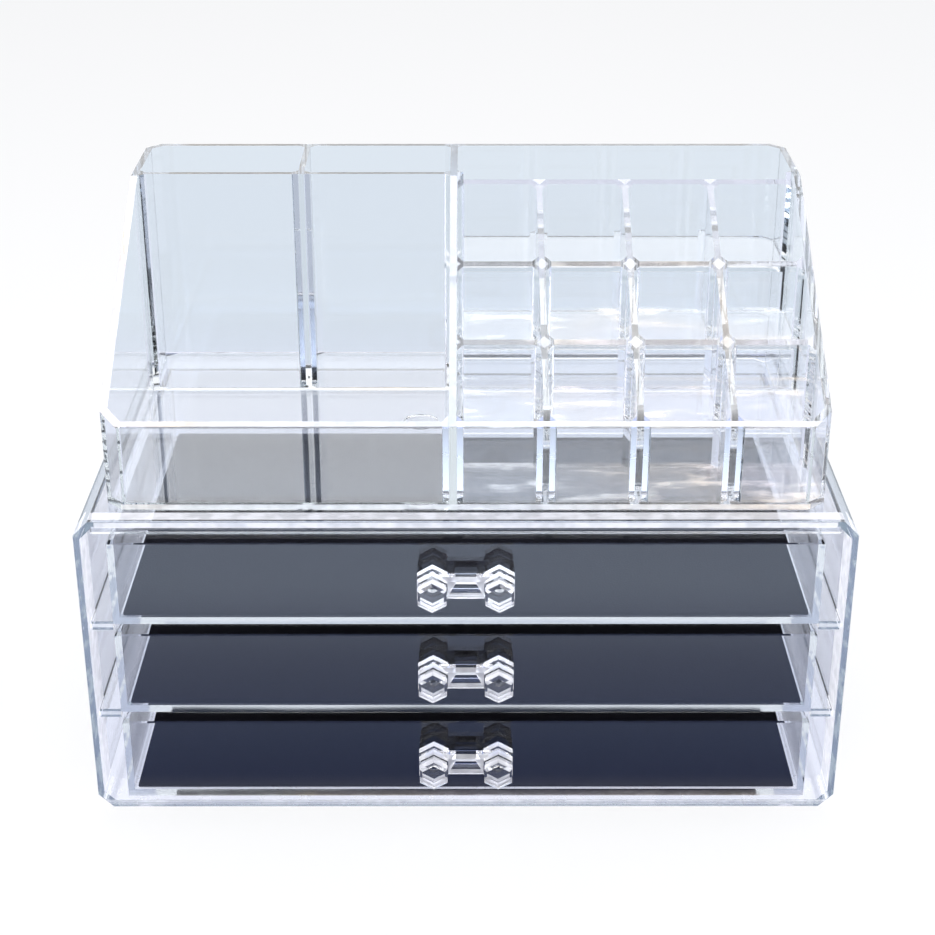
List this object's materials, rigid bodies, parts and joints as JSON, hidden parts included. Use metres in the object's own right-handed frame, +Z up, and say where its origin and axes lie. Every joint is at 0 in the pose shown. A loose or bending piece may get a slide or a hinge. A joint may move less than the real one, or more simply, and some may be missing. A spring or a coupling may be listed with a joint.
{
  "type": "makeup organizer",
  "caption": "Clear make-up organizer: a casing with stacked sliding drawers under a removable tray with open compartments and stepped lipstick cells.",
  "frame": {"origin": "centre of the bounding box's base, on the surface that the organizer stands on", "axes": "+X to the right when facing the drawer fronts, +Y to the back, +Z up"},
  "size_m": [0.24, 0.1508, 0.1848],
  "materials": {
    "clear_casing": "clear glossy plastic",
    "clear_drawer": "clear glossy plastic",
    "clear_handle": "clear glossy plastic",
    "clear_tray": "clear glossy plastic",
    "black_liner": "matt foam rubber, finely textured"
  },
  "bodies": {
    "casing": {"base_casing": "clear_casing"},
    "lower_drawer": {"drawer_lower": "clear_drawer", "drawer_liner_lower": "black_liner", "drawer_handle_lower": "clear_handle"},
    "middle_drawer": {"drawer_middle": "clear_drawer", "drawer_liner_middle": "black_liner", "drawer_handle_middle": "clear_handle"},
    "upper_drawer": {"drawer_upper": "clear_drawer", "drawer_liner_upper": "black_liner", "drawer_handle_upper": "clear_handle"},
    "tray": {"organizer_tray": "clear_tray"}
  },
  "joints": [
    {"name": "lower_drawer_slide", "type": "slide", "parent": "casing", "child": "lower_drawer", "axis": [0, -1, 0], "range_m": [0, 0.11]},
    {"name": "middle_drawer_slide", "type": "slide", "parent": "casing", "child": "middle_drawer", "axis": [0, -1, 0], "range_m": [0, 0.11]},
    {"name": "upper_drawer_slide", "type": "slide", "parent": "casing", "child": "upper_drawer", "axis": [0, -1, 0], "range_m": [0, 0.11]},
    {"name": "tray_lift", "type": "slide", "parent": "casing", "child": "tray", "axis": [0, 0, 1], "range_m": [0, 0.06]}
  ]
}
